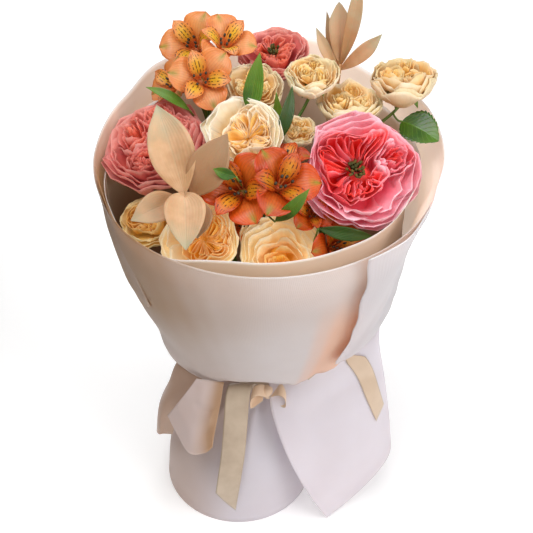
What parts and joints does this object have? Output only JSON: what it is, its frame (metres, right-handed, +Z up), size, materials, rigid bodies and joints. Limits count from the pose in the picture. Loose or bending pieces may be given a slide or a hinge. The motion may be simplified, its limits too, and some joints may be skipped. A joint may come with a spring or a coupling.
{
  "type": "flower bouquet",
  "caption": "Hand-tied bouquet of mixed roses, alstroemeria and ruscus in a paper wrap with a ribbon at the waist, standing on its cut stems and round paper skirt.",
  "frame": {"origin": "cut end of the middle stem, in the middle of the skirt's foot, on the surface the bouquet stands on", "axes": "+Z up along the middle stem, -Y towards the front, where the wrap's rim is lowest and the bow is tied, +X to the bouquet's right as seen from the front"},
  "size_m": [0.334, 0.3232, 0.5744],
  "materials": {
    "petals_pink": "matt",
    "petals_coral": "matt",
    "petals_cream": "matt",
    "petals_yellow": "matt",
    "petals_light_orange": "satin",
    "petals_orange_red": "satin",
    "green_stem": "satin",
    "bleached_ruscus": "matt",
    "wrapping_paper": "matt",
    "cream_paper": "matt",
    "satin_ribbon": "satin",
    "twine": "matt"
  },
  "bodies": {
    "root": {"alstroemeria_10_flower": "petals_orange_red", "alstroemeria_1_flower": "petals_light_orange", "alstroemeria_2_flower": "petals_light_orange", "alstroemeria_3_flower": "petals_light_orange", "alstroemeria_4_flower": "petals_light_orange", "alstroemeria_5_flower": "petals_orange_red", "alstroemeria_6_flower": "petals_orange_red", "alstroemeria_7_flower": "petals_orange_red", "alstroemeria_8_flower": "petals_orange_red", "alstroemeria_9_flower": "petals_orange_red", "alstroemeria_stem_left": "green_stem", "alstroemeria_stem_middle": "green_stem", "alstroemeria_stem_right": "green_stem", "binding_twine": "twine", "ribbon_band": "satin_ribbon", "ribbon_bow": "satin_ribbon", "ribbon_tail_left": "satin_ribbon", "ribbon_tail_right": "satin_ribbon", "rose_coral_back_flower": "petals_coral", "rose_coral_back_stem": "green_stem", "rose_coral_left_flower": "petals_coral", "rose_coral_left_stem": "green_stem", "rose_cream_front_flower": "petals_cream", "rose_cream_front_stem": "green_stem", "rose_cream_left_flower": "petals_cream", "rose_cream_left_stem": "green_stem", "rose_cream_middle_flower": "petals_cream", "rose_cream_middle_stem": "green_stem", "rose_pink_flower": "petals_pink", "rose_pink_stem": "green_stem", "rose_yellow_flower": "petals_yellow", "rose_yellow_stem": "green_stem", "ruscus_spray_back": "bleached_ruscus", "ruscus_spray_left": "bleached_ruscus", "skirt_drum": "wrapping_paper", "skirt_flap_left": "wrapping_paper", "skirt_flap_right": "wrapping_paper", "spray_rose_1": "petals_cream", "spray_rose_2": "petals_cream", "spray_rose_3": "petals_cream", "spray_rose_4": "petals_cream", "spray_rose_bud": "petals_cream", "spray_stem_back": "green_stem", "spray_stem_right": "green_stem", "wrap_front_sheet": "wrapping_paper", "wrap_inner_sheet": "cream_paper", "wrap_outer_sheet": "wrapping_paper"}
  },
  "joints": []
}
